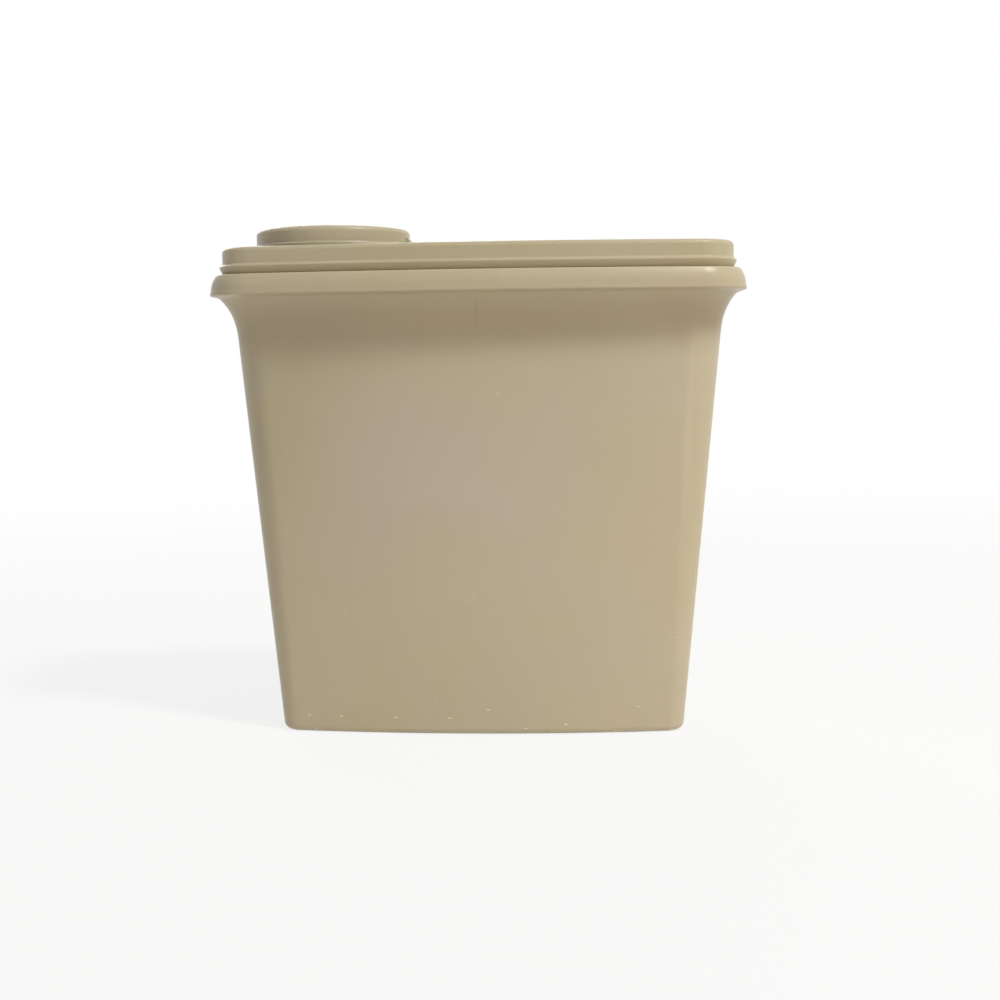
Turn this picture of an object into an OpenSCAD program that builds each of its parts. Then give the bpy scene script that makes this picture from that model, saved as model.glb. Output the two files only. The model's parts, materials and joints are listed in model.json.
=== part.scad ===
// Kitchen keeper: a tapered container with a press-on lid and a round flip cap over a pouring neck.
// Origin at the middle of the base, on the surface it stands on. +X runs along the width, the cap
// lies toward -X, +Z is up. Long faces look along Y.

/* [Container] */
// Width across the rim band
rim_w = 240; // [225:1:280]
// Depth across the rim band at the middle of the width
rim_d = 106; // [105:1:130]
// Plan radius of the rim band's corners
rim_corner_r = 24; // [20:1:30]
// Radius of the gentle outward bow of each long face
bow_r = 680; // [600:10:1200]
// Width of the base
base_w = 184.5; // [170:1:205]
// Depth of the base at the middle of the width
base_d = 68; // [60:1:80]
// Plan radius of the base's corners
base_corner_r = 9; // [6:0.5:14]
// Plan radius of the corners at the top of the straight wall
wall_corner_r = 18; // [14:0.5:20]
// Height of the straight drafted wall
wall_h = 180.5; // [140:1:220]
// Wall thickness
wall_t = 2; // [1.6:0.1:3]
// Floor thickness
floor_t = 2.2; // [1.6:0.1:4]
// Radius of the rounded edge round the base
base_edge_r = 3; // [1.5:0.5:5]
// Width of the flat foot ring
foot_w = 5; // [3:0.5:8]
// Height of the foot ring under the floor
foot_h = 1; // [0.5:0.1:2]

/* [Rim] */
// How far the top of the straight wall lies in from the rim band's widest line
wall_in = 11; // [9:0.25:13]
// Height of the cove between wall and rim band
cove_h = 17.6; // [14:0.2:26]
// Width of the rim band's underside
under_w = 3.8; // [3:0.1:5]
// Drop of the underside from the band's edge to the cove
under_drop = 0.8; // [0.4:0.1:1.5]
// Height of the rim band
band_h = 9.3; // [6:0.1:12]
// How far the top of the rim band lies in from its widest line
band_lean = 2.9; // [1:0.1:3.2]
// Radius of the rim band's lower edge
band_edge_r = 0.6; // [0.4:0.1:1.6]
// Thickness of the upstanding lip
lip_t = 1.9; // [1.4:0.1:2.4]
// Height of the lip above the rim band
lip_h = 10.1; // [9:0.1:14]
// Radius of the lip's upper edges
lip_edge_r = 0.5; // [0.3:0.1:0.7]

/* [Lid] */
// How far the lid's side lies in from the rim band's widest line
lid_in = 5.9; // [5.5:0.1:7]
// Wall thickness of the lid
lid_t = 1.8; // [1.4:0.1:2.2]
// How far the ledge stands out from the lid's side
ledge_out = 1.3; // [1:0.1:2.5]
// Height of the ledge's edge above the rim band
ledge_rise = 3; // [2.4:0.1:4.5]
// Height of the ledge's sloping top
ledge_slope = 1.4; // [1:0.1:2.5]
// Thickness of the ledge's edge
ledge_edge = 0.6; // [0.4:0.1:1]
// Gap between the lid's skirt and the rim band
skirt_gap = 0.3; // [0.2:0.1:0.6]
// Thickness of the channel's inner wall
channel_t = 1.6; // [1.2:0.1:2]
// Radius of the lid's outer upper edge
lid_edge_r = 2.2; // [1:0.1:2.4]
// Radius of the edges where the rim of the lid meets its sunk panel
tray_edge_r = 1.4; // [0.8:0.1:1.7]
// How far the panel lies below the lid's top
panel_drop = 6; // [5.6:0.1:6.4]

/* [Spout and cap] */
// Gap between the cap and the side walls of the lid's tray
cap_side_gap = 2.33; // [1.5:0.01:8]
// Gap between the thumb lip and the end wall of the lid's tray
cap_end_gap = 2.85; // [1.5:0.05:12]
// Wall thickness of the cap
cap_t = 1.6; // [1.3:0.1:1.8]
// Height of the cap's top above the lid's top
cap_rise = 9.1; // [8:0.1:14]
// Radius of the cap's upper edge
cap_edge_r = 2.4; // [1:0.1:2.5]
// Gap between the cap's skirt and the panel
cap_gap = 1; // [0.6:0.1:1.4]
// How far the foot of the cap's skirt stands out from it
step_out = 0.5; // [0.3:0.1:0.8]
// Height of the skirt's foot above the lid's top
step_rise = 1.5; // [1:0.1:4]
// Height of the slope from the skirt's foot in to the skirt
step_slope = 0.7; // [0.4:0.1:1]
// Height of the pouring neck above the panel
neck_h = 6.5; // [6:0.1:7]
// Wall thickness of the neck
neck_t = 1.8; // [1.4:0.1:2.2]
// Depth of the plug ring inside the neck
plug_depth = 2; // [1:0.1:2]
// Wall thickness of the plug ring
plug_t = 1.4; // [1:0.1:2]
// Bevel of the plug ring's lower edge
plug_bevel = 0.5; // [0.3:0.1:0.8]
// How far the thumb lip stands out from the cap's skirt
thumb_out = 2.6; // [1.5:0.1:3]
// Width of the thumb lip
thumb_w = 22; // [14:1:26]
// Thickness of the thumb lip
thumb_t = 1.8; // [1.2:0.1:2.4]

/* [Hinge] */
// Distance of the hinge axis from the cap's skirt
hinge_reach = 4.25; // [4:0.05:6]
// Radius of the hinge knuckle
knuckle_r = 2.6; // [2.2:0.1:2.7]
// Length of the hinge knuckle
knuckle_l = 14; // [10:0.5:20]
// Gap between the knuckle and the panel
knuckle_gap = 0.7; // [0.5:0.1:1]
// Height at which the hinge arm leaves the cap's skirt, above the lid's top
arm_rise = 6.6; // [2:0.1:7]
// Radius of the trunnion pins
pin_r = 1.4; // [1:0.05:1.5]
// Thickness of each hinge ear
ear_t = 4; // [3:0.5:6]
// Radius of each hinge ear
ear_r = 2.7; // [2.5:0.1:2.8]

/* [Fits] */
// Clearance on each side of the lip in the lid's channel
lip_fit = 0.3; // [0.25:0.05:0.4]
// Clearance between the cap's skirt and the neck
cap_fit = 0.7; // [0.65:0.05:1]
// Clearance between the plug ring and the neck
plug_fit = 0.6; // [0.6:0.05:0.9]
// Radial clearance of the trunnion pins
pin_fit = 0.05; // [0.02:0.01:0.1]
// Gap between the knuckle and each ear
ear_fit = 0.3; // [0.2:0.05:0.5]

/* [Hidden] */
// Facets of a full circle
$fn = 96;
// Steps along each corner, bow, wall, curve and small edge of the skins
corner_steps = 10;
bow_steps = 10;
wall_steps = 6;
curve_steps = 7;
edge_steps = 4;
// How far a joined solid reaches into its neighbour
sink = 0.6;
// Smallest plan radius of a corner
least_r = 0.8;
// How far a cutting solid runs past what it cuts
past = 1;

// Distance from the middle plane to the centre of each bow
bow_c = bow_r - rim_d / 2;

// Heights
cove_top = wall_h + cove_h;
band_bottom = cove_top + under_drop;
shelf_z = band_bottom + band_h;
lip_top = shelf_z + lip_h;
lid_top = lip_top + lid_t;
panel_top = lid_top - panel_drop;
neck_top = panel_top + neck_h;
cap_bottom = panel_top + cap_gap;
cap_top = lid_top + cap_rise;
ceiling_z = cap_top - cap_t;
hinge_z = panel_top + knuckle_gap + knuckle_r;

// Insets from the rim band's widest line
lip_in = lid_in + lid_t + lip_fit;
lip_inner_in = lip_in + lip_t;
channel_in = lip_inner_in + lip_fit;
tray_in = channel_in + channel_t;

// The cap's circle, set by its gaps into the -X end of the tray between the two bows
cap_end = rim_w / 2 - tray_in - cap_end_gap - thumb_out;
cap_bow = bow_c + rim_d / 2 - tray_in - cap_side_gap;
cap_r = (cap_bow ^ 2 - cap_end ^ 2 - bow_c ^ 2) / (2 * (cap_bow - cap_end));

// Radii round the spout
neck_or = cap_r - cap_t - cap_fit;
neck_ir = neck_or - neck_t;
plug_or = neck_ir - plug_fit;
spout_x = cap_r - cap_end;
hinge_x = spout_x + cap_r + hinge_reach;
pin_l = knuckle_l + 2 * (ear_fit + ear_t);

shade = [0.74, 0.69, 0.57];

function mix(a, b, t) = a + (b - a) * t;

// Points on a quadratic curve from a to c that leaves and arrives toward b
function curve(a, b, c, n) = [
    for (i = [0 : n]) let (t = i / n) mix(mix(a, b, t), mix(b, c, t), t)
];

// Points on an arc round c, from angle a0 to angle a1
function arc(c, r, a0, a1, n) = [
    for (i = [0 : n]) let (t = mix(a0, a1, i / n)) c + r * [cos(t), sin(t)]
];

// Plan outline with half width a, half depth b and corner radius r, its long sides bowed round
// the same centres at every height
function outline(a, b, r) =
    let (
        big = bow_c + b,
        half = asin((a - r) / (big - r)),
        cx = a - r,
        cy = (big - r) * cos(half) - bow_c,
        right = arc([cx, cy], r, 0, 90 - half, corner_steps),
        top = arc([0, -bow_c], big, 90 - half, 90, bow_steps / 2),
        quarter = concat(right, [for (i = [1 : len(top) - 1]) top[i]]),
        n = len(quarter)
    )
    concat(
        quarter,
        [for (i = [n - 2 : -1 : 0]) [-quarter[i][0], quarter[i][1]]],
        [for (i = [0 : n - 1]) -quarter[i]],
        [for (i = [n - 2 : -1 : 0]) [quarter[i][0], -quarter[i][1]]]
    );

// A ring of a skin: [height, half width, half depth, corner radius]
function inset_ring(z, inset, r) = [z, rim_w / 2 - inset, rim_d / 2 - inset, r];
function parallel_ring(z, inset) = inset_ring(z, inset, rim_corner_r - inset);
function wall_ring(z, inset) =
    let (t = z / wall_h)
    [
        z,
        mix(base_w / 2, rim_w / 2 - wall_in, t) - inset,
        mix(base_d / 2, rim_d / 2 - wall_in, t) - inset,
        max(mix(base_corner_r, wall_corner_r, t) - inset, least_r)
    ];

function foot_rings() = [
    for (p = arc([base_edge_r, base_edge_r], base_edge_r, -90, -180, edge_steps))
        wall_ring(p[1], p[0])
];

function outer_wall_rings() = [
    for (i = [1 : wall_steps - 1]) wall_ring(mix(base_edge_r, wall_h, i / wall_steps), 0)
];

function cove_rings() =
    let (
        slope = (rim_w / 2 - wall_in - base_w / 2) / wall_h,
        reach = (wall_in - under_w - cove_h * slope) / (1 - slope),
        knee = [under_w + reach, cove_top - reach],
        line = curve([wall_in, wall_h], knee, [under_w, cove_top], curve_steps)
    )
    [
        for (i = [0 : curve_steps])
            let (r = mix(wall_corner_r, rim_corner_r - under_w, i / curve_steps))
            inset_ring(line[i][1], line[i][0], r)
    ];

function band_rings() =
    let (
        face_h = band_h - band_edge_r,
        face_r = (band_lean ^ 2 + face_h ^ 2) / (2 * band_lean),
        face_a = asin(face_h / face_r),
        z = band_bottom + band_edge_r,
        edge = arc([band_edge_r, z], band_edge_r, -90, -180, edge_steps),
        face = arc([face_r, z], face_r, 180, 180 - face_a, curve_steps)
    )
    [for (p = concat(edge, [for (i = [1 : curve_steps]) face[i]])) parallel_ring(p[1], p[0])];

function lip_rings() =
    let (
        r = lip_edge_r,
        outer = arc([lip_in + r, lip_top - r], r, 180, 90, edge_steps),
        inner = arc([lip_inner_in - r, lip_top - r], r, 90, 0, edge_steps)
    )
    concat(
        [parallel_ring(shelf_z, lip_in)],
        [for (p = concat(outer, inner)) parallel_ring(p[1], p[0])]
    );

function inner_rings() =
    let (
        z0 = foot_h + floor_t + base_edge_r,
        start = [lip_inner_in, shelf_z],
        finish = [wall_in + wall_t, wall_h],
        flare = [
            for (i = [0 : curve_steps])
                let (t = i / curve_steps, s = (1 - cos(180 * t)) / 2)
                [mix(start[0], finish[0], s), mix(start[1], finish[1], t), t]
        ],
        bottom = arc([wall_t + base_edge_r, z0], base_edge_r, 180, 270, edge_steps)
    )
    concat(
        [
            for (p = flare)
                inset_ring(p[1], p[0], mix(rim_corner_r - lip_inner_in, wall_corner_r - wall_t, p[2]))
        ],
        [for (i = [wall_steps - 1 : -1 : 1]) wall_ring(mix(z0, wall_h, i / wall_steps), wall_t)],
        [for (p = bottom) wall_ring(p[1], p[0])]
    );

// One closed skin through a list of rings, flat at its first and last ring
module skin(rings) {
    loops = [for (g = rings) [for (p = outline(g[1], g[2], g[3])) [p[0], p[1], g[0]]]];
    n = len(loops[0]);
    last = len(loops) - 1;
    points = [for (loop = loops) each loop];
    sides = [
        for (i = [0 : last - 1], j = [0 : n - 1])
            let (k = (j + 1) % n)
            each [
                [i * n + j, (i + 1) * n + j, (i + 1) * n + k],
                [i * n + j, (i + 1) * n + k, i * n + k]
            ]
    ];
    first_face = [for (j = [0 : n - 1]) j];
    last_face = [for (j = [n - 1 : -1 : 0]) last * n + j];
    polyhedron(points, concat([first_face], sides, [last_face]));
}

// The space under the floor, inside the foot ring
module foot_recess() {
    inner = wall_ring(0, base_edge_r + foot_w);
    translate([0, 0, -past])
        linear_extrude(foot_h + past)
            polygon(outline(inner[1], inner[2], inner[3]));
}

module container() {
    color(shade)
    difference() {
        skin(concat(
            foot_rings(),
            outer_wall_rings(),
            cove_rings(),
            band_rings(),
            lip_rings(),
            inner_rings()
        ));
        foot_recess();
    }
}

// Rings of the lid, from under its panel through the channel and over the outside to the panel's top
function lid_rings() =
    let (
        skirt_z = shelf_z + skirt_gap,
        ledge_z = shelf_z + ledge_rise,
        tip = lid_in - ledge_out,
        r = tray_edge_r,
        top_edge = arc([lid_in + lid_edge_r, lid_top - lid_edge_r], lid_edge_r, 180, 90, edge_steps),
        tray_edge = arc([tray_in - r, lid_top - r], r, 90, 0, edge_steps),
        tray_foot = arc([tray_in + r, panel_top + r], r, 180, 270, edge_steps)
    )
    [
        for (p = concat(
            [
                [channel_in, panel_top - lid_t],
                [channel_in, lip_top],
                [lid_in + lid_t, lip_top],
                [lid_in + lid_t, skirt_z],
                [lid_in, skirt_z],
                [tip, ledge_z],
                [tip, ledge_z + ledge_edge],
                [lid_in - ledge_edge / 2, ledge_z + ledge_slope],
                [lid_in, ledge_z + ledge_slope + ledge_edge]
            ],
            top_edge,
            tray_edge,
            tray_foot
        ))
            parallel_ring(p[1], p[0])
    ];

module lid() {
    color(shade) {
        difference() {
            union() {
                skin(lid_rings());
                for (side = [-1, 1]) hinge_ear(side);
            }
            translate([spout_x, 0, panel_top - lid_t - past])
                cylinder(r = neck_ir + neck_t / 2, h = lid_t + 2 * past);
            translate([hinge_x, 0, hinge_z])
                rotate([90, 0, 0])
                    cylinder(r = pin_r + pin_fit, h = pin_l + 2 * past, center = true);
        }
        neck();
    }
}

module neck() {
    tip_r = neck_t / 2;
    translate([spout_x, 0, 0])
        rotate_extrude() {
            translate([neck_ir, panel_top - lid_t])
                square([neck_t, neck_h + lid_t - tip_r]);
            translate([neck_ir + tip_r, neck_top - tip_r])
                circle(r = tip_r);
        }
}

module hinge_ear(side) {
    y = side > 0 ? knuckle_l / 2 + ear_fit : -knuckle_l / 2 - ear_fit - ear_t;
    translate([hinge_x, y, hinge_z])
        rotate([-90, 0, 0])
            cylinder(r = ear_r, h = ear_t);
    translate([hinge_x - ear_r, y, panel_top - sink])
        cube([2 * ear_r, ear_t, hinge_z - panel_top + sink]);
}

// Half section of the solid that the cap is hollowed from
module cap_outside() {
    e = cap_edge_r;
    foot_r = cap_r + step_out;
    foot_top = lid_top + step_rise;
    polygon(concat(
        [[0, cap_bottom], [foot_r, cap_bottom], [foot_r, foot_top], [cap_r, foot_top + step_slope]],
        arc([cap_r - e, cap_top - e], e, 0, 90, curve_steps),
        [[0, cap_top]]
    ));
}

module plug_section() {
    plug_bottom = neck_top - plug_depth;
    polygon([
        [plug_or - plug_t, ceiling_z + sink],
        [plug_or - plug_t, plug_bottom],
        [plug_or - plug_bevel, plug_bottom],
        [plug_or, plug_bottom + 2 * plug_bevel],
        [plug_or, ceiling_z + sink]
    ]);
}

module thumb_lip() {
    lip_r = cap_r + thumb_out;
    intersection() {
        translate([spout_x, 0, cap_bottom])
            cylinder(r = lip_r, h = thumb_t);
        translate([spout_x - lip_r - past, -thumb_w / 2, cap_bottom - past])
            cube([lip_r, thumb_w, thumb_t + 2 * past]);
    }
}

module hinge_arm() {
    root = spout_x + cap_r * cos(asin(knuckle_l / 2 / cap_r)) - sink;
    translate([hinge_x, 0, hinge_z])
        rotate([90, 0, 0])
            cylinder(r = knuckle_r, h = knuckle_l, center = true);
    translate([0, knuckle_l / 2, 0])
        rotate([90, 0, 0])
            linear_extrude(knuckle_l)
                polygon([
                    [root, cap_bottom],
                    [hinge_x, hinge_z - knuckle_r],
                    [hinge_x, hinge_z + knuckle_r],
                    [root, lid_top + arm_rise]
                ]);
}

module flip_cap() {
    color(shade) {
        difference() {
            union() {
                translate([spout_x, 0, 0])
                    rotate_extrude() cap_outside();
                thumb_lip();
                hinge_arm();
            }
            translate([spout_x, 0, cap_bottom - past])
                cylinder(r = cap_r - cap_t, h = ceiling_z - cap_bottom + past);
        }
        translate([spout_x, 0, 0])
            rotate_extrude() plug_section();
        translate([hinge_x, 0, hinge_z])
            rotate([90, 0, 0])
                cylinder(r = pin_r, h = pin_l, center = true);
    }
}

container();
lid();
flip_cap();
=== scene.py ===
# A tall tapered plastic keeper with a press-on lid and a round flip cap, dressed around its CAD.
# Lengths are written in millimetres, as in the part's source, and turned to metres where they are drawn.
import json
from math import asin, cos, degrees, pi, radians, sin

import bpy
import bmesh
from mathutils import Matrix, Vector

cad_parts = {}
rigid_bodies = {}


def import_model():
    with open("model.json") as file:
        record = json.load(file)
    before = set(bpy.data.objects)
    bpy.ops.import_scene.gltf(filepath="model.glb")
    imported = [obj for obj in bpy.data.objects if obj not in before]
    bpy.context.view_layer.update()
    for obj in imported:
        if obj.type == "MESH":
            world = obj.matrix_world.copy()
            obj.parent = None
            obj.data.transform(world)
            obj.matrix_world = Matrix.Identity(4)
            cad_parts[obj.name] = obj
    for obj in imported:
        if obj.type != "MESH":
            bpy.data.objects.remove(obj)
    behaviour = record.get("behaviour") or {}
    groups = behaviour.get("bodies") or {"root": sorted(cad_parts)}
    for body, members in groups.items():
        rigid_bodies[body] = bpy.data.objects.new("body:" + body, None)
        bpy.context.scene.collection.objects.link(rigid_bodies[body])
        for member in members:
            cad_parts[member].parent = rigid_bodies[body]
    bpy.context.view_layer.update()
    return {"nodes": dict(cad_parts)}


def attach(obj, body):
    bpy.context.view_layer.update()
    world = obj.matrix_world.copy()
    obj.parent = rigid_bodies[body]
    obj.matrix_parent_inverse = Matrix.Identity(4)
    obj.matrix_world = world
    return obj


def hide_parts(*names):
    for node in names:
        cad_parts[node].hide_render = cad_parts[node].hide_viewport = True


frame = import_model()

MM = 0.001


# ---------------------------------------------------------------- camera

CAMERA_PLACE = 44.863, -653, 170.94
CAMERA_TURN, CAMERA_DIP, CAMERA_ROLL = radians(-3.217), radians(5.879), radians(-0.731)
SENSOR, LENS = 36, 50.38704


def place_camera():
    """The photograph's view: a phone held a little to the right, level with the upper wall."""
    ahead = Vector((sin(CAMERA_TURN) * cos(CAMERA_DIP), cos(CAMERA_TURN) * cos(CAMERA_DIP), -sin(CAMERA_DIP)))
    level = Vector((cos(CAMERA_TURN), -sin(CAMERA_TURN), 0))
    upward = level.cross(ahead)
    right = cos(CAMERA_ROLL) * level + sin(CAMERA_ROLL) * upward
    up = cos(CAMERA_ROLL) * upward - sin(CAMERA_ROLL) * level
    facing = Matrix((right, up, -ahead)).transposed().to_4x4()
    optics = bpy.data.cameras.new("camera")
    optics.sensor_width = SENSOR
    optics.lens = LENS
    optics.clip_start, optics.clip_end = 0.01, 50
    camera = bpy.data.objects.new("camera", optics)
    bpy.context.scene.collection.objects.link(camera)
    camera.matrix_world = Matrix.Translation(Vector(CAMERA_PLACE) * MM) @ facing
    bpy.context.scene.camera = camera


place_camera()


# ---------------------------------------------------------------- sizes

RIM_W, RIM_D, RIM_R, BOW_R = 240, 106, 24, 680
BASE_W, BASE_D, BASE_R, WALL_R = 184.5, 68, 9, 18
WALL_H, WALL_T, FLOOR_T = 180.5, 2, 2.2
BASE_EDGE, FOOT_W, FOOT_H = 3, 5, 1
WALL_IN, COVE_H, UNDER_W, UNDER_DROP = 11, 17.6, 3.8, 0.8
RIDGE_H, RIDGE_OUT = 0.5, 0.3
BAND_H, BAND_LEAN, BAND_EDGE = 9.3, 2.9, 0.6
LIP_T, LIP_H, LIP_EDGE = 1.9, 10.1, 0.5
LID_IN, LID_T, LEDGE_OUT, LEDGE_RISE, LEDGE_SLOPE, LEDGE_EDGE = 5.9, 1.8, 1.3, 3, 1.4, 0.6
SKIRT_GAP, CHANNEL_T, LID_EDGE, TRAY_EDGE, PANEL_DROP = 0.3, 1.6, 2.2, 1.4, 6
SIDE_GAP, END_GAP, THUMB_OUT, THUMB_W, THUMB_T = 2.33, 2.85, 2.6, 22, 1.8
CAP_T, CAP_RISE, CAP_EDGE, CAP_GAP, STEP_OUT, STEP_RISE, STEP_SLOPE = 1.6, 9.1, 2.4, 1, 0.5, 1.5, 0.7
NECK_H, NECK_T, PLUG_DEPTH, PLUG_T, PLUG_BEVEL = 6.5, 1.8, 2, 1.4, 0.5
HINGE_REACH, KNUCKLE_R, KNUCKLE_L, KNUCKLE_GAP, ARM_RISE = 4.25, 2.6, 14, 0.7, 6.6
PIN_R, EAR_T, EAR_R = 1.4, 4, 2.7
LIP_FIT, CAP_FIT, PLUG_FIT, PIN_FIT, EAR_FIT = 0.3, 0.7, 0.6, 0.05, 0.3

BOW_C = BOW_R - RIM_D / 2
BAND_Z = WALL_H + COVE_H + UNDER_DROP
SHELF_Z = BAND_Z + BAND_H
LIP_Z = SHELF_Z + LIP_H
LID_Z = LIP_Z + LID_T
PANEL_Z = LID_Z - PANEL_DROP
NECK_Z = PANEL_Z + NECK_H
CAP_LOW = PANEL_Z + CAP_GAP
CAP_Z = LID_Z + CAP_RISE
CEILING_Z = CAP_Z - CAP_T
HINGE_Z = PANEL_Z + KNUCKLE_GAP + KNUCKLE_R

LIP_IN = LID_IN + LID_T + LIP_FIT
MOUTH_IN = LIP_IN + LIP_T
CHANNEL_IN = MOUTH_IN + LIP_FIT
TRAY_IN = CHANNEL_IN + CHANNEL_T

CAP_END = RIM_W / 2 - TRAY_IN - END_GAP - THUMB_OUT
CAP_BOW = BOW_C + RIM_D / 2 - TRAY_IN - SIDE_GAP
CAP_R = (CAP_BOW ** 2 - CAP_END ** 2 - BOW_C ** 2) / (2 * (CAP_BOW - CAP_END))
SPOUT_X = CAP_R - CAP_END
HINGE_X = SPOUT_X + CAP_R + HINGE_REACH
NECK_OUT = CAP_R - CAP_T - CAP_FIT
NECK_IN = NECK_OUT - NECK_T
PLUG_R = NECK_IN - PLUG_FIT
EAR_Y = KNUCKLE_L / 2 + EAR_FIT

# Widths of the broken edges, then what the drawing itself needs.
BODY_BREAK, LID_BREAK, EAR_BREAK, THUMB_BREAK = 0.35, 0.25, 0.3, 0.4
LEAST_CORNER = 0.8
SINK = 0.6  # how far a welded piece reaches into what carries it
THUMB_ROOT = 0.6  # the same of the thumb lip, as a share of the cap's wall
TOP_RING = 0.6  # the ring drawn on the cap's flat top, as a share of its radius
BORE_SPARE = 1  # how far a bore is cut past the ear's faces
CORNER_STEPS, BOW_STEPS, ROUND_STEPS, EDGE_STEPS, HEAD_STEPS, TURN_STEPS = 18, 14, 6, 10, 24, 120
WALL_STEPS, COVE_STEPS, BAND_STEPS, MOUTH_STEPS = 10, 16, 8, 12
SHARP, SMOOTH = radians(30), radians(40)
TINY, LEVEL = 1e-6, 0.999


def mix(a, b, t):
    return a + (b - a) * t


def arc(centre, radius, start, finish, steps=ROUND_STEPS):
    """Points (x, y) on an arc, from start to finish in degrees."""
    angles = [radians(mix(start, finish, i / steps)) for i in range(steps + 1)]
    return [(centre[0] + radius * cos(a), centre[1] + radius * sin(a)) for a in angles]


def curve(a, b, c, steps):
    """Points on a quadratic curve from a to c that leaves and arrives toward b."""
    return [
        tuple(mix(mix(p, q, t), mix(q, r, t), t) for p, q, r in zip(a, b, c))
        for t in (i / steps for i in range(steps + 1))
    ]


# ---------------------------------------------------------------- hand tools

def to_edit():
    bpy.ops.object.mode_set(mode="EDIT")


def to_object():
    bpy.ops.object.mode_set(mode="OBJECT")


def hold(piece):
    """Makes a piece the only one selected."""
    bpy.ops.object.select_all(action="DESELECT")
    piece.select_set(True)
    bpy.context.view_layer.objects.active = piece
    return piece


def named(name):
    """Gives the piece just added its name, and settles its place into its mesh."""
    piece = bpy.context.object
    piece.name = piece.data.name = name
    bpy.ops.object.transform_apply(location=True, rotation=True, scale=True)
    return piece


def point(x, y, z):
    """In edit mode, adds one loose point and leaves it selected."""
    bpy.ops.mesh.select_mode(type="VERT")
    bpy.ops.mesh.select_all(action="DESELECT")
    bpy.ops.mesh.primitive_plane_add(size=MM, location=(x * MM, y * MM, z * MM))
    bpy.ops.mesh.merge(type="CENTER")


def pull(x, y, z):
    """Extrudes what is selected by a distance."""
    bpy.ops.mesh.extrude_region_move(TRANSFORM_OT_translate={"value": (x * MM, y * MM, z * MM)})


def turn(centre, angle, steps):
    """Spins what is selected round an upright axis, to the left for a positive angle."""
    bpy.ops.mesh.spin(steps=steps, angle=angle, center=(centre[0] * MM, centre[1] * MM, 0), axis=(0, 0, -1))


def line(points, y=0):
    """In edit mode, draws a line through (x, z) points and leaves it all selected."""
    point(points[0][0], y, points[0][1])
    for a, b in zip(points, points[1:]):
        pull(b[0] - a[0], 0, b[1] - a[1])
    bpy.ops.mesh.select_linked()


def face_outward():
    """In edit mode, selects the whole mesh and turns its faces outward."""
    bpy.ops.mesh.select_all(action="SELECT")
    bpy.ops.mesh.normals_make_consistent(inside=False)


def empty_mesh(name):
    """A new piece with nothing in it, in edit mode."""
    bpy.ops.object.select_all(action="DESELECT")
    bpy.ops.mesh.primitive_plane_add(size=MM)
    piece = named(name)
    to_edit()
    bpy.ops.mesh.delete(type="VERT")
    return piece


def pick(piece, kind, test):
    """In edit mode, selects the piece's vertices, edges or faces that pass a test, and no others."""
    bpy.ops.mesh.select_mode(type={"verts": "VERT", "edges": "EDGE", "faces": "FACE"}[kind])
    bpy.ops.mesh.select_all(action="DESELECT")
    mesh = bmesh.from_edit_mesh(piece.data)
    for part in getattr(mesh, kind):
        if test(part):
            part.select_set(True)
    mesh.select_flush_mode()
    bmesh.update_edit_mesh(piece.data)


def pick_open_edge(piece, z):
    """In edit mode, selects the open edges that start at a height."""
    pick(piece, "edges", lambda e: e.is_boundary and abs(e.verts[0].co.z - z * MM) < TINY)


def apply(piece, kind, **settings):
    """Adds a modifier to the piece and applies it."""
    hold(piece)
    modifier = piece.modifiers.new(kind.lower(), kind)
    for key, value in settings.items():
        setattr(modifier, key, value)
    bpy.ops.object.modifier_apply(modifier=modifier.name)


def mirror(piece):
    """Carries a quarter across both middle planes."""
    apply(piece, "MIRROR", use_axis=(True, True, False), use_clip=True, merge_threshold=1e-5)


def break_edges(piece, width):
    """Rounds the sharp edges a little."""
    apply(piece, "BEVEL", width=width * MM, segments=2, limit_method="ANGLE", angle_limit=SHARP,
          use_clamp_overlap=True)


def smooth(piece):
    """Shades the piece smooth, with its flat faces kept flat."""
    hold(piece)
    bpy.ops.object.shade_smooth_by_angle(angle=SMOOTH)
    apply(piece, "WEIGHTED_NORMAL", keep_sharp=True)


def weld_together(piece, others, operation="UNION"):
    """Joins other solids to the piece, or cuts them out of it."""
    for other in others:
        apply(piece, "BOOLEAN", object=other, operation=operation, solver="EXACT")
        bpy.data.objects.remove(other)


# ---------------------------------------------------------------- container

def wall_ring(z, inset):
    """Half width, half depth, corner radius and height of the drafted wall."""
    t = z / WALL_H
    return (
        mix(BASE_W / 2, RIM_W / 2 - WALL_IN, t) - inset,
        mix(BASE_D / 2, RIM_D / 2 - WALL_IN, t) - inset,
        max(mix(BASE_R, WALL_R, t) - inset, LEAST_CORNER),
        z,
    )


def inset_ring(inset, z, radius):
    """The same of an outline that lies a distance inside the rim's."""
    return RIM_W / 2 - inset, RIM_D / 2 - inset, radius, z


def rim_ring(inset, z):
    """The same, with the corner that keeps an even distance from the rim's."""
    return inset_ring(inset, z, RIM_R - inset)


def cove_rings():
    """From the wall's top, out along the slope that the wall has there, and up under the rim."""
    slope = (RIM_W / 2 - WALL_IN - BASE_W / 2) / WALL_H
    reach = (WALL_IN - UNDER_W - COVE_H * slope) / (1 - slope)
    top = WALL_H + COVE_H
    start = WALL_IN, WALL_H, WALL_R
    knee = UNDER_W + reach, top - reach, mix(WALL_R, RIM_R - UNDER_W, 0.5)
    finish = UNDER_W, top, RIM_R - UNDER_W
    return [inset_ring(*p) for p in curve(start, knee, finish, COVE_STEPS)]


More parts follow.
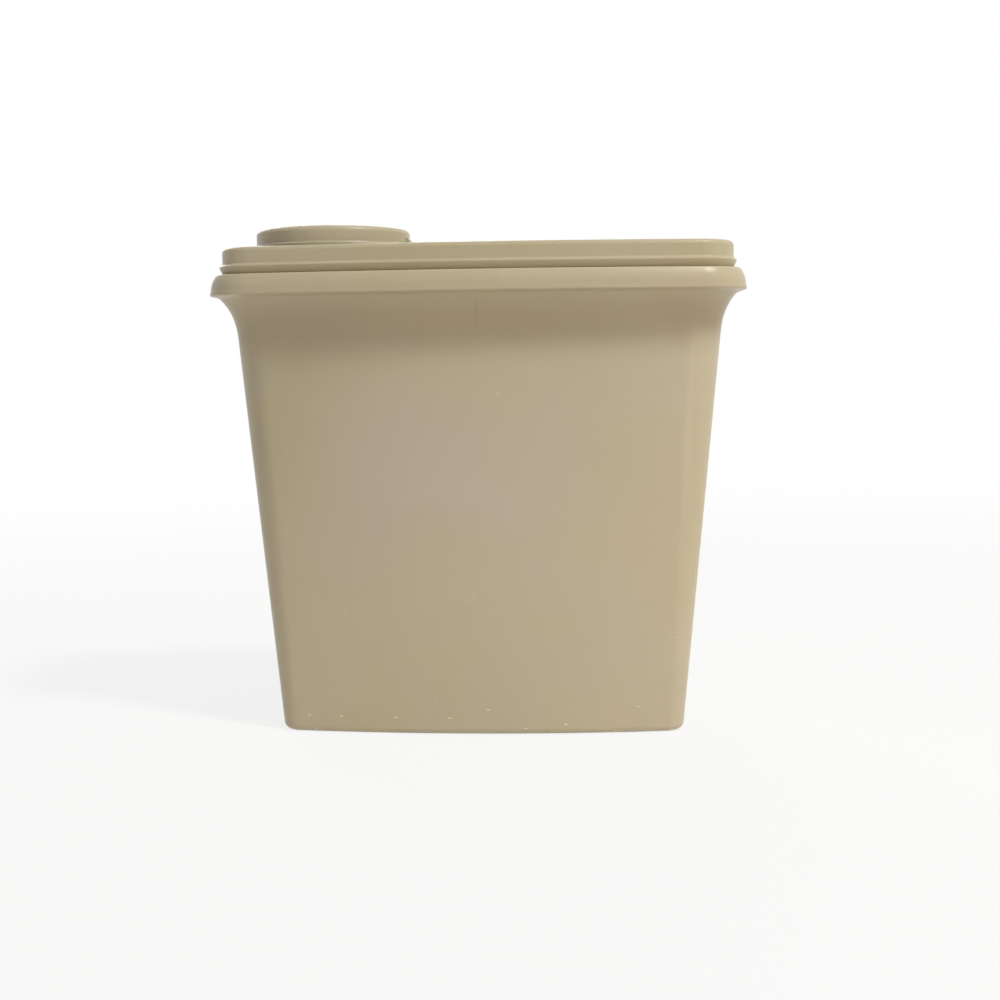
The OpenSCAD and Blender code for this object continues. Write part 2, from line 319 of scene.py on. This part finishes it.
def band_rings():
    """The rim band's low edge, its thin ridge, and its bowed face, which leans in to the shelf."""
    edge_z = BAND_Z + BAND_EDGE
    face_h = BAND_H - BAND_EDGE
    face_r = (BAND_LEAN ** 2 + face_h ** 2) / (2 * BAND_LEAN)
    face = arc((face_r, edge_z), face_r, 180, 180 - degrees(asin(face_h / face_r)), BAND_STEPS)[1:]
    rings = [rim_ring(*p) for p in arc((BAND_EDGE, edge_z), BAND_EDGE, -90, -180)]
    rings += [rim_ring(0, edge_z + RIDGE_H)]
    for i, (inset, z) in enumerate(face):
        rings += [rim_ring(mix(inset + RIDGE_OUT, inset, i / (BAND_STEPS - 1)), z)]
    return rings


def mouth_rings():
    """Down the inside, from the shelf's height to the wall's top."""
    rings = []
    for i in range(MOUTH_STEPS + 1):
        t = i / MOUTH_STEPS
        swing = (1 - cos(pi * t)) / 2
        rings += [inset_ring(mix(MOUTH_IN, WALL_IN + WALL_T, swing), mix(SHELF_Z, WALL_H, t),
                             mix(RIM_R - MOUTH_IN, WALL_R - WALL_T, t))]
    return rings


def container_rings():
    """Plan outlines, from the foot up the outside, over the lip and down the inside to the floor."""
    lip_z = LIP_Z - LIP_EDGE
    floor_z = FOOT_H + FLOOR_T + BASE_EDGE
    up = [i / WALL_STEPS for i in range(1, WALL_STEPS)]
    rings = [wall_ring(z, inset) for inset, z in arc((BASE_EDGE, BASE_EDGE), BASE_EDGE, -90, -180)]
    rings += [wall_ring(mix(BASE_EDGE, WALL_H, t), 0) for t in up]
    rings += cove_rings() + band_rings()
    rings += [rim_ring(LIP_IN, SHELF_Z)]
    rings += [rim_ring(*p) for p in arc((LIP_IN + LIP_EDGE, lip_z), LIP_EDGE, 180, 90)]
    rings += [rim_ring(*p) for p in arc((MOUTH_IN - LIP_EDGE, lip_z), LIP_EDGE, 90, 0)]
    rings += mouth_rings()
    rings += [wall_ring(mix(floor_z, WALL_H, t), WALL_T) for t in reversed(up)]
    rings += [wall_ring(z, inset) for inset, z in arc((WALL_T + BASE_EDGE, floor_z), BASE_EDGE, 180, 270)]
    return rings


def draw_outline(half_w, half_d, radius, z):
    """A quarter of a plan outline: along the end, round the corner, and along the bowed face."""
    bow = BOW_C + half_d
    half = asin((half_w - radius) / (bow - radius))
    corner = half_w - radius, (bow - radius) * cos(half) - BOW_C
    outline = empty_mesh("outline")
    point(half_w, 0, z)
    pull(0, corner[1], 0)
    turn(corner, pi / 2 - half, CORNER_STEPS)
    turn((0, -BOW_C), half, BOW_STEPS)
    to_object()
    return outline


def is_base(face):
    """Whether a face is the whole flat underside, and not a strip of the edge round it."""
    return face.normal.z < -LEVEL and face.calc_center_median().z < TINY and len(face.verts) > 8


def make_container():
    outlines = [draw_outline(*ring) for ring in container_rings()]
    count = len(outlines[0].data.vertices)
    piece = hold(outlines[0])
    for outline in outlines[1:]:
        outline.select_set(True)
    bpy.ops.object.join()
    piece.name = piece.data.name = "container_body"
    to_edit()
    for i in range(len(outlines) - 1):
        pick(piece, "verts", lambda v: i * count <= v.index < (i + 2) * count)
        bpy.ops.mesh.bridge_edge_loops()
    to_object()
    mirror(piece)
    to_edit()
    for z in (0, FOOT_H + FLOOR_T):
        pick_open_edge(piece, z)
        bpy.ops.mesh.edge_face_add()
    face_outward()
    pick(piece, "faces", is_base)
    bpy.ops.mesh.inset(thickness=FOOT_W * MM)
    pull(0, 0, FOOT_H)
    to_object()
    break_edges(piece, BODY_BREAK)
    smooth(piece)
    return piece


# ---------------------------------------------------------------- lid

def lid_section():
    """The lid's rim in section as (inset, height), from the panel's underside round the rim to its top."""
    skirt_z, ledge_z = SHELF_Z + SKIRT_GAP, SHELF_Z + LEDGE_RISE
    tip = LID_IN - LEDGE_OUT
    under = PANEL_Z - LID_T
    return [
        (CHANNEL_IN, under),
        (CHANNEL_IN, LIP_Z),
        (LID_IN + LID_T, LIP_Z),
        (LID_IN + LID_T, skirt_z),
        (LID_IN, skirt_z),
        (tip, ledge_z),
        (tip, ledge_z + LEDGE_EDGE),
        (LID_IN - LEDGE_EDGE / 2, ledge_z + LEDGE_SLOPE),
        (LID_IN, ledge_z + LEDGE_SLOPE + LEDGE_EDGE),
        *arc((LID_IN + LID_EDGE, LID_Z - LID_EDGE), LID_EDGE, 180, 90),
        *arc((TRAY_IN - TRAY_EDGE, LID_Z - TRAY_EDGE), TRAY_EDGE, 90, 0),
        *arc((TRAY_IN + TRAY_EDGE, PANEL_Z + TRAY_EDGE), TRAY_EDGE, 180, 270),
    ]


def slab(name, points, y0, y1):
    """A flat plate with a drawn (x, z) outline, between two places along Y."""
    plate = empty_mesh(name)
    line(points, y0)
    bpy.ops.mesh.edge_face_add()
    pull(0, y1 - y0, 0)
    face_outward()
    to_object()
    return plate


def rod(name, x, z, radius, y0, y1):
    """A round bar along Y."""
    middle = x * MM, (y0 + y1) / 2 * MM, z * MM
    bpy.ops.object.select_all(action="DESELECT")
    bpy.ops.mesh.primitive_cylinder_add(vertices=48, radius=radius * MM, depth=(y1 - y0) * MM,
                                        location=middle, rotation=(pi / 2, 0, 0))
    return named(name)


def hinge_ear(side):
    """One ear that holds a trunnion pin: a post with a round head."""
    y0, y1 = sorted((side * EAR_Y, side * (EAR_Y + EAR_T)))
    head = arc((HINGE_X, HINGE_Z), EAR_R, 0, 180, HEAD_STEPS)
    foot = PANEL_Z - SINK
    ear = slab("ear", [(HINGE_X + EAR_R, foot), *head, (HINGE_X - EAR_R, foot)], y0, y1)
    break_edges(ear, EAR_BREAK)
    bore = rod("bore", HINGE_X, HINGE_Z, PIN_R + PIN_FIT, y0 - BORE_SPARE, y1 + BORE_SPARE)
    weld_together(ear, [bore], "DIFFERENCE")
    return ear


def neck_section():
    """The pouring neck in section as (radius, height), from the panel's underside over its lip to the top."""
    tip = NECK_T / 2
    return [
        (NECK_IN, PANEL_Z - LID_T),
        *arc((NECK_IN + tip, NECK_Z - tip), tip, 180, 0, EDGE_STEPS),
        (NECK_OUT, PANEL_Z),
    ]


def make_lid():
    piece = empty_mesh("lid_moulding")
    corner_x = RIM_W / 2 - RIM_R
    half = asin(corner_x / (BOW_R - RIM_R))
    corner_y = (BOW_R - RIM_R) * cos(half) - BOW_C
    line([(RIM_W / 2 - inset, z) for inset, z in lid_section()])
    pull(0, corner_y, 0)
    turn((corner_x, corner_y), pi / 2 - half, CORNER_STEPS)
    turn((0, -BOW_C), half, BOW_STEPS)
    to_object()
    mirror(piece)
    to_edit()
    line([(SPOUT_X + r, z) for r, z in neck_section()])
    turn((SPOUT_X, 0), 2 * pi, TURN_STEPS)
    bpy.ops.mesh.select_all(action="SELECT")
    bpy.ops.mesh.remove_doubles(threshold=TINY)
    for z in (PANEL_Z - LID_T, PANEL_Z):
        pick_open_edge(piece, z)
        bpy.ops.mesh.fill()
    face_outward()
    to_object()
    break_edges(piece, LID_BREAK)
    weld_together(piece, [hinge_ear(-1), hinge_ear(1)])
    smooth(piece)
    return piece


# ---------------------------------------------------------------- flip cap

def cap_section():
    """The cap in section as (radius, height), from the middle of its top to the middle of its ceiling."""
    foot_r, foot_z = CAP_R + STEP_OUT, LID_Z + STEP_RISE
    plug_low = NECK_Z - PLUG_DEPTH
    inner_r = CAP_R - CAP_T
    return [
        (0, CAP_Z),
        (CAP_R * TOP_RING, CAP_Z),
        *arc((CAP_R - CAP_EDGE, CAP_Z - CAP_EDGE), CAP_EDGE, 90, 0, EDGE_STEPS),
        (CAP_R, foot_z + STEP_SLOPE),
        (foot_r, foot_z),
        (foot_r, CAP_LOW),
        (inner_r, CAP_LOW),
        (inner_r, CEILING_Z),
        (PLUG_R, CEILING_Z),
        (PLUG_R, plug_low + 2 * PLUG_BEVEL),
        (PLUG_R - PLUG_BEVEL, plug_low),
        (PLUG_R - PLUG_T, plug_low),
        (PLUG_R - PLUG_T, CEILING_Z),
        (0, CEILING_Z),
    ]


def thumb_lip():
    """A crescent at the foot of the cap's wall, to lift it by."""
    reach = CAP_R + THUMB_OUT
    spread = asin(THUMB_W / 2 / reach)
    lip = empty_mesh("thumb")
    point(SPOUT_X - reach * cos(spread), -THUMB_W / 2, CAP_LOW)
    turn((SPOUT_X, 0), -2 * spread, HEAD_STEPS)
    bpy.ops.mesh.select_linked()
    pull(THUMB_OUT + CAP_T * THUMB_ROOT, 0, 0)
    bpy.ops.mesh.select_all(action="SELECT")
    pull(0, 0, THUMB_T)
    face_outward()
    to_object()
    break_edges(lip, THUMB_BREAK)
    return lip


def hinge_arm():
    """The arm that reaches from the cap's wall round the hinge, with its knuckle as its end."""
    half = KNUCKLE_L / 2
    root = SPOUT_X + CAP_R * cos(asin(half / CAP_R)) - SINK
    knuckle = arc((HINGE_X, HINGE_Z), KNUCKLE_R, -90, 90, HEAD_STEPS)
    arm = slab("arm", [(root, CAP_LOW), *knuckle, (root, LID_Z + ARM_RISE)], -half, half)
    break_edges(arm, LID_BREAK)
    return arm


def make_cap():
    piece = empty_mesh("cap_moulding")
    line([(SPOUT_X + r, z) for r, z in cap_section()])
    turn((SPOUT_X, 0), 2 * pi, TURN_STEPS)
    bpy.ops.mesh.select_all(action="SELECT")
    bpy.ops.mesh.remove_doubles(threshold=TINY)
    face_outward()
    to_object()
    break_edges(piece, LID_BREAK)
    arm = hinge_arm()
    pins = rod("pins", HINGE_X, HINGE_Z, PIN_R, -EAR_Y - EAR_T, EAR_Y + EAR_T)
    weld_together(piece, [thumb_lip(), arm, pins])
    smooth(piece)
    return piece


container_body = make_container()
lid_moulding = make_lid()
cap_moulding = make_cap()

for piece, body, node, slot in (
    (container_body, "container", "container", "container_plastic"),
    (lid_moulding, "lid", "lid", "lid_plastic"),
    (cap_moulding, "cap", "flip_cap", "cap_plastic"),
):
    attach(piece, body)
    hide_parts(node)


# ---------------------------------------------------------------- finishes

# Sockets of a Mix node that mixes colours, whose names stand for other sockets too.
MIX_SHARE, MIX_BELOW, MIX_ABOVE, MIX_RESULT = 0, 6, 7, 2


class Value:
    """A number or colour that a node gives. Sums on it add Math nodes."""

    def __init__(self, finish, socket):
        self.finish, self.socket = finish, socket

    def _math(self, operation, *inputs):
        return self.finish.add("ShaderNodeMath", {"operation": operation}, dict(enumerate(inputs)))

    def __add__(self, other):
        return self._math("ADD", self, other)

    def __sub__(self, other):
        return self._math("SUBTRACT", self, other)

    def __rsub__(self, other):
        return self._math("SUBTRACT", other, self)

    def __mul__(self, other):
        return self._math("MULTIPLY", self, other)

    def __or__(self, other):
        return self._math("MAXIMUM", self, other)

    __radd__, __rmul__ = __add__, __mul__

    def __abs__(self):
        return self._math("ABSOLUTE", self)

    def between(self, low, high):
        """0 below low, 1 above high, smooth between."""
        return self.finish.add("ShaderNodeMapRange", {"interpolation_type": "SMOOTHSTEP"},
                               {"Value": self, "From Min": low, "From Max": high})

    def near(self, centre, reach):
        """1 at the centre, 0 at the reach from it and beyond."""
        return 1 - abs(self - centre).between(0, reach)


class Finish:
    """The nodes of one material, or of the room."""

    def __init__(self, owner):
        owner.use_nodes = True
        self.owner, self.tree = owner, owner.node_tree
        self.tree.nodes.clear()

    def add(self, kind, settings, inputs, output=0):
        """Adds a node with its settings, then the values or links of its sockets, and gives one output."""
        node = self.tree.nodes.new(kind)
        for key, value in settings.items():
            setattr(node, key, value)
        for key, value in inputs.items():
            if isinstance(value, Value):
                self.tree.links.new(value.socket, node.inputs[key])
            else:
                node.inputs[key].default_value = value
        return Value(self, node.outputs[output]) if node.outputs else None

    def place(self, kind="Object"):
        """The coordinates that a pattern lies on."""
        return self.add("ShaderNodeTexCoord", {}, {}, kind)

    def along(self, axis, place):
        """A place's distance along one axis."""
        return self.add("ShaderNodeSeparateXYZ", {}, {"Vector": place}, axis)

    def tint(self, share, below, above):
        """A colour that goes from one to another as the share goes from 0 to 1."""
        return self.add("ShaderNodeMix", {"data_type": "RGBA"},
                        {MIX_SHARE: share, MIX_BELOW: below, MIX_ABOVE: above}, MIX_RESULT)

    def noise(self, place, scale, detail, roughness=0.5):
        """A cloudy pattern of numbers about 0.5."""
        return self.add("ShaderNodeTexNoise", {},
                        {"Vector": place, "Scale": scale, "Detail": detail, "Roughness": roughness})

    def seen_past(self):
        """1 on the rays that show a background: the camera's, a reflection's, and those that pass through."""
        camera, glossy, through = (
            self.add("ShaderNodeLightPath", {}, {}, ray)
            for ray in ("Is Camera Ray", "Is Glossy Ray", "Is Transmission Ray")
        )
        return camera | glossy | through

    def blend(self, share, below, above):
        """A shader that goes from one to another as the share goes from 0 to 1."""
        return self.add("ShaderNodeMixShader", {}, {0: share, 1: below, 2: above})


def srgb(*levels):
    """A colour read off a screen, 0 to 255, as the linear colour that a shader takes."""
    shares = [level / 255 for level in levels]
    return tuple(s / 12.92 if s <= 0.04045 else ((s + 0.055) / 1.055) ** 2.4 for s in shares) + (1,)


WHITE = (1, 1, 1, 1)
BLOOM = srgb(190, 180, 160)
# Painted reflection of a window: a pale bluish-grey patch on the middle of the container's walls.
PAINTED_REFLECTION = srgb(193, 183, 170)
SCUFFED = srgb(222, 214, 196)
# Painted shade in the cove under the rim, and also the colour of the mould's line there.
SHADE_AND_LINE_BROWN = srgb(166, 148, 116)
NICKED = srgb(236, 224, 190)

# How strongly each mark, the painted reflection and the painted shade tint the plastic.
BLOOM_TINT, HAIR_TINT, SCUFF_TINT = 0.3, 0.5, 0.25
PAINTED_REFLECTION_TINT, COVE_SHADE_TINT, LINE_TINT, NICK_TINT = 0.75, 0.55, 0.45, 0.7
# Heights in the bump, as shares of its depth, and what each adds to the roughness.
BUMP_STRENGTH, BUMP_DEPTH = 0.35, 0.0004
SKIN_UP, WAVE_UP, HAIR_DOWN, LINE_DOWN, NICK_DOWN = 0.02, 0.5, 0.06, 0.5, 0.3
ROUGH, MOTTLE_ROUGH, CLOUD_ROUGH, SCUFF_ROUGH, HAIR_ROUGH = 0.24, 0.12, 0.08, 0.15, 0.1

# Where the painted reflection, the painted shade in the cove and the mould's line lie on the container, in
# millimetres: the middle, then the reach from it.
REFLECTION_ACROSS, REFLECTION_UP = (-8, 95), (105, 85)
COVE_SHADE_UP = WALL_H + COVE_H * 0.4, 21
LINE_ACROSS, LINE_UP = (1.3, 0.8), (WALL_H + COVE_H * 0.6, 11)
# And where nicks end, going up, and begin, going out from the middle plane.
NICKS_END, NICKS_BEGIN = (10, 17), (24, 30)


def metres(*lengths):
    return [length * MM for length in lengths]


def polyethylene(name, body, shade_to, wear, marks_and_painted_light=None):
    """Satin almond polyethylene: a faint cloudiness in its colour, a fine skin, the marks of use, and what
    the marks function adds, which for the container is also a painted reflection and painted shade.
    """
    finish = Finish(bpy.data.materials.new(name))
    place = finish.place()
    cloud = finish.noise(place, scale=9, detail=3)
    mottle = finish.noise(place, scale=60, detail=4, roughness=0.6)
    bloom = finish.noise(place, scale=14, detail=2).between(0.42, 0.62)
    hair_lines = finish.noise(place, scale=26, detail=1, roughness=0.4).near(0.5, 0.0035)
    hair = hair_lines * finish.noise(place, scale=150, detail=0).between(0.68, 0.74)
    specks = finish.noise(place, scale=900, detail=2, roughness=0.6).between(0.6, 0.72)
    scuff = specks * finish.noise(place, scale=38, detail=1).between(0.52, 0.7)
    skin = finish.noise(place, scale=1400, detail=2)
    wave = finish.noise(place, scale=35, detail=1)

    colour = finish.tint(cloud.between(0.3, 0.7), body, shade_to)
    colour = finish.tint(bloom * BLOOM_TINT, colour, BLOOM)
    colour = finish.tint(hair * (wear * HAIR_TINT) + scuff * (wear * SCUFF_TINT), colour, SCUFFED)
    height = skin * SKIN_UP + wave * WAVE_UP - hair * (wear * HAIR_DOWN)
    # The marks function may add painted reflection and painted shade to the colour, as the container's does.
    if marks_and_painted_light:
        colour, height = marks_and_painted_light(finish, place, colour, height)
    bump = finish.add("ShaderNodeBump", {},
                      {"Strength": BUMP_STRENGTH, "Distance": BUMP_DEPTH, "Height": height})
    worn_rough = scuff * (wear * SCUFF_ROUGH) + hair * HAIR_ROUGH
    rough = mottle * MOTTLE_ROUGH + cloud * CLOUD_ROUGH + worn_rough + ROUGH
    shader = finish.add("ShaderNodeBsdfPrincipled", {}, {
        "Base Color": colour, "Roughness": rough, "Normal": bump, "IOR": 1.5, "Specular IOR Level": 0.3,
        "Subsurface Weight": 0.12, "Subsurface Radius": (1.0, 0.75, 0.5), "Subsurface Scale": 0.004,
    })
    finish.add("ShaderNodeOutputMaterial", {}, {"Surface": shader})
    return finish.owner


def body_marks_and_painted_light(finish, place, colour, height):
    """A painted reflection on the middle of the walls, painted shade and the mould's line in the coves, and
    nicks round the foot.
    """
    x, y, z = (finish.along(axis, place) for axis in "XYZ")
    # Painted reflection: a pale bluish-grey patch across the middle of the walls, uneven in strength.
    patchy = finish.noise(place, scale=16, detail=2).between(0.3, 0.62)
    painted_reflection = x.near(*metres(*REFLECTION_ACROSS)) * z.near(*metres(*REFLECTION_UP)) * (patchy * 0.7 + 0.3)
    # Painted shade: the cove under the rim is darkened, unevenly.
    uneven = finish.noise(place, scale=22, detail=3).between(0.2, 0.7)
    cove_shade = z.near(*metres(*COVE_SHADE_UP)) * (uneven * 0.35 + 0.65)
    mould_line = x.near(*metres(*LINE_ACROSS)) * z.near(*metres(*LINE_UP))
    cells = finish.add("ShaderNodeCombineXYZ", {}, {"X": x, "Y": z * 2.2 + x * 0.4})
    nick = finish.add("ShaderNodeTexVoronoi", {"voronoi_dimensions": "2D"}, {"Vector": cells, "Scale": 42})
    low = 1 - z.between(*metres(*NICKS_END))
    nicked = (1 - nick.between(0.02, 0.05)) * low * abs(y).between(*metres(*NICKS_BEGIN))

    # Painted reflection on the middle of the walls.
    colour = finish.tint(painted_reflection * PAINTED_REFLECTION_TINT, colour, PAINTED_REFLECTION)
    # Painted shade in the cove, then the mould's line.
    colour = finish.tint(cove_shade * COVE_SHADE_TINT, colour, SHADE_AND_LINE_BROWN)
    colour = finish.tint(mould_line * LINE_TINT, colour, SHADE_AND_LINE_BROWN)
    colour = finish.tint(nicked * NICK_TINT, colour, NICKED)
    return colour, height - mould_line * LINE_DOWN - nicked * NICK_DOWN


# The container's finish also carries the painted reflection and the painted shade that its marks function
# adds.
body_plastic = polyethylene("almond_body", srgb(194, 181, 151), srgb(188, 176, 144), 0.5, body_marks_and_painted_light)
lid_plastic = polyethylene("almond_lid", srgb(191, 179, 147), srgb(187, 175, 142), 0.3)
cap_plastic = polyethylene("almond_cap", srgb(191, 180, 150), srgb(186, 175, 144), 0.3)

for piece, material, node in (
    (container_body, body_plastic, "container"),
    (lid_moulding, lid_plastic, "lid"),
    (cap_moulding, cap_plastic, "flip_cap"),
):
    for wearer in (piece, frame["nodes"][node]):
        wearer.data.materials.clear()
        wearer.data.materials.append(material)


# ---------------------------------------------------------------- studio

# Here lengths are in metres.
FLOOR_WIDTH = 12
FLOOR_PAINT = (0.8, 0.8, 0.8, 1)
WHITE_NEAR, WHITE_ADDED, WHITE_FROM, WHITE_TO = 0.8, 0.2, 0.25, 1.4
ROOM_TINT = (1, 0.93, 0.93, 1)
ROOM_LEVELS = 0.30, 0.52
LAMPS = (
    # name, place, aimed at, width and height, watts, colour, spread in degrees
    ("overhead", (0.91, -0.69, 1.72), (0, 0, 0.15), 0.28, 0.34, 22, (0.96, 1, 0.94), 180),
    ("low", (0.40, -0.50, 0.06), (0.09, -0.03, 0.01), 0.24, 0.08, 0.085, (1, 0.86, 0.86), 60),
    ("behind", (-0.50, 1.30, 0.90), (0, 0, 0.12), 1.0, 0.8, 7, (1, 0.98, 0.95), 180),
)


def make_floor():
    """A plain pale floor that keeps the shadow, and pales away from the keeper until it meets the room."""
    bpy.ops.object.select_all(action="DESELECT")
    bpy.ops.mesh.primitive_plane_add(size=FLOOR_WIDTH)
    floor = named("floor")
    paint = Finish(bpy.data.materials.new("floor_paint"))
    away = paint.add("ShaderNodeVectorMath", {"operation": "LENGTH"}, {0: paint.place()}, "Value")
    matt = paint.add("ShaderNodeBsdfDiffuse", {}, {"Color": FLOOR_PAINT})
    white = paint.add("ShaderNodeEmission", {}, {"Color": WHITE, "Strength": 1})
    share = paint.seen_past() * (away.between(WHITE_FROM, WHITE_TO) * WHITE_ADDED + WHITE_NEAR)
    paint.add("ShaderNodeOutputMaterial", {}, {"Surface": paint.blend(share, matt, white)})
    floor.data.materials.append(paint.owner)


def make_room():
    """Soft light, dimmer toward -X, and white where the camera or a reflection sees past the floor."""
    room = Finish(bpy.data.worlds.new("room"))
    across = room.along("X", room.place("Generated"))
    dim, bright = (room.add("ShaderNodeBackground", {}, {"Color": ROOM_TINT, "Strength": level})
                   for level in ROOM_LEVELS)
    soft = room.blend(across * 0.5 + 0.5, dim, bright)
    white = room.add("ShaderNodeBackground", {}, {"Color": WHITE, "Strength": 1})
    room.add("ShaderNodeOutputWorld", {}, {"Surface": room.blend(room.seen_past(), soft, white)})
    bpy.context.scene.world = room.owner


def hang_lamp(name, place, target, width, height, power, colour, spread):
    """A soft rectangular studio lamp that the camera doesn't see."""
    light = bpy.data.lights.new(name, "AREA")
    light.shape, light.size, light.size_y = "RECTANGLE", width, height
    light.energy, light.color, light.spread = power, colour, radians(spread)
    lamp = bpy.data.objects.new(name, light)
    bpy.context.scene.collection.objects.link(lamp)
    lamp.visible_camera = False
    lamp.location = place
    lamp.rotation_euler = (Vector(target) - Vector(place)).to_track_quat("-Z", "Y").to_euler()


make_floor()
make_room()
for row in LAMPS:
    hang_lamp(*row)

bpy.context.scene.view_settings.view_transform = "Standard"
